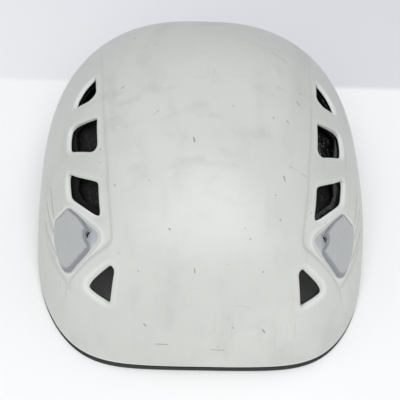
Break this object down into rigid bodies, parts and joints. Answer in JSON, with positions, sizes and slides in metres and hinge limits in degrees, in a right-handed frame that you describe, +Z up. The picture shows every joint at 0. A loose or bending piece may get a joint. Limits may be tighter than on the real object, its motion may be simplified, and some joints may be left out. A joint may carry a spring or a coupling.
{
  "type": "climbing helmet",
  "caption": "Climbing helmet: moulded shell with side vents and clip plates, foam crown liner, sizing headband with side wheels, sliding vent shutters and a chin harness.",
  "frame": {"origin": "on the floor, under the middle of the helmet's rim", "axes": "+Z up to the crown, -Y to the front of the helmet, +X to the right for a viewer who faces the front (the wearer's left)"},
  "size_m": [0.225, 0.2846, 0.1399],
  "materials": {
    "shell_abs": "satin pale grey moulded plastic, scuffed",
    "clip_plastic": "satin blue-grey moulded plastic, scratched",
    "trim_rubber": "matte black edging",
    "liner_foam": "charcoal bead foam",
    "shutter_plastic": "glossy black thin plastic",
    "harness_plastic": "dark grey moulded plastic",
    "buckle_plastic": "black moulded plastic",
    "webbing": "woven dark grey webbing",
    "pad_fabric": "black brushed fabric over soft foam",
    "pin_steel": "plain steel"
  },
  "bodies": {
    "helmet": {"shell": "shell_abs", "clip_front_left": "clip_plastic", "clip_front_right": "clip_plastic", "clip_rear_left": "clip_plastic", "clip_rear_right": "clip_plastic", "rim_trim": "trim_rubber", "strap_keeper": "trim_rubber", "crown_liner": "liner_foam", "headband_front": "harness_plastic", "wheel_housing_left": "harness_plastic", "wheel_housing_right": "harness_plastic", "hanger_front_left": "harness_plastic", "hanger_front_right": "harness_plastic", "hanger_side_left": "harness_plastic", "hanger_side_right": "harness_plastic", "hanger_pin_front_left": "harness_plastic", "hanger_pin_front_right": "harness_plastic", "hanger_pin_side_left": "harness_plastic", "hanger_pin_side_right": "harness_plastic", "strap_anchor_front_left": "harness_plastic", "strap_anchor_front_right": "harness_plastic", "strap_anchor_rear_left": "harness_plastic", "strap_anchor_rear_right": "harness_plastic", "divider_left": "harness_plastic", "divider_right": "harness_plastic", "buckle_socket": "buckle_plastic", "chin_strap_left": "webbing", "chin_strap_right": "webbing", "strap_front_left": "webbing", "strap_front_right": "webbing", "strap_rear_left": "webbing", "strap_rear_right": "webbing", "pad_brow": "pad_fabric", "pad_crown_front": "pad_fabric", "pad_crown_rear": "pad_fabric", "wheel_axle_left": "pin_steel", "wheel_axle_right": "pin_steel", "flap_pin_left": "pin_steel", "flap_pin_right": "pin_steel", "strap_bar_front_left": "pin_steel", "strap_bar_front_right": "pin_steel", "strap_bar_rear_left": "pin_steel", "strap_bar_rear_right": "pin_steel"},
    "shutter_left": {"shutter_left": "shutter_plastic"},
    "shutter_right": {"shutter_right": "shutter_plastic"},
    "yoke": {"nape_yoke": "harness_plastic"},
    "cradle": {"nape_cradle": "harness_plastic", "pad_nape": "pad_fabric", "cradle_pin_left": "pin_steel", "cradle_pin_right": "pin_steel"},
    "size_wheel_left": {"size_wheel_left": "harness_plastic"},
    "size_wheel_right": {"size_wheel_right": "harness_plastic"},
    "flap_left": {"divider_flap_left": "harness_plastic"},
    "flap_right": {"divider_flap_right": "harness_plastic"},
    "plug": {"buckle_plug": "buckle_plastic"},
    "prong_upper": {"buckle_prong_upper": "buckle_plastic"},
    "prong_lower": {"buckle_prong_lower": "buckle_plastic"}
  },
  "joints": [
    {"name": "shutter_left_slide", "type": "hinge", "parent": "helmet", "child": "shutter_left", "pos_m": [0, -0.006, -0.03], "axis": [-1, 0, 0], "range_deg": [0, 7.5]},
    {"name": "shutter_right_slide", "type": "hinge", "parent": "helmet", "child": "shutter_right", "pos_m": [0, -0.006, -0.03], "axis": [-1, 0, 0], "range_deg": [0, 7.5]},
    {"name": "size_slide", "type": "slide", "parent": "helmet", "child": "yoke", "axis": [0, 1, 0], "range_m": [-0.01, 0.01]},
    {"name": "size_wheel_left_turn", "type": "hinge", "parent": "helmet", "child": "size_wheel_left", "pos_m": [0, 0.02, 0.043], "axis": [1, 0, 0], "range_deg": [-115, 115]},
    {"name": "size_wheel_right_turn", "type": "hinge", "parent": "helmet", "child": "size_wheel_right", "pos_m": [0, 0.02, 0.043], "axis": [1, 0, 0], "range_deg": [-115, 115]},
    {"name": "cradle_tilt", "type": "hinge", "parent": "yoke", "child": "cradle", "pos_m": [0, 0.05, 0.043], "axis": [1, 0, 0], "range_deg": [-4, 12]},
    {"name": "flap_left_open", "type": "hinge", "parent": "helmet", "child": "flap_left", "pos_m": [-0.0944, -0.012, 0.0268], "axis": [0, 1, 0], "range_deg": [0, 45]},
    {"name": "flap_right_open", "type": "hinge", "parent": "helmet", "child": "flap_right", "pos_m": [0.0944, -0.012, 0.0268], "axis": [0, -1, 0], "range_deg": [0, 45]},
    {"name": "buckle_pull", "type": "slide", "parent": "helmet", "child": "plug", "axis": [1, 0, 0], "range_m": [0, 0.02], "deforming": ["chin_strap_right"]},
    {"name": "prong_upper_press", "type": "hinge", "parent": "plug", "child": "prong_upper", "pos_m": [0.0004, -0.121, 0.034], "axis": [0, -1, 0], "range_deg": [0, 7], "stiffness_Nm_per_rad": 0.002},
    {"name": "prong_lower_press", "type": "hinge", "parent": "plug", "child": "prong_lower", "pos_m": [0.0004, -0.121, 0.02], "axis": [0, 1, 0], "range_deg": [0, 7], "stiffness_Nm_per_rad": 0.002}
  ],
  "couplings": [
    {"joint": "size_wheel_left_turn", "follows": "size_slide", "rad_per_m": 200},
    {"joint": "size_wheel_right_turn", "follows": "size_slide", "rad_per_m": 200}
  ]
}
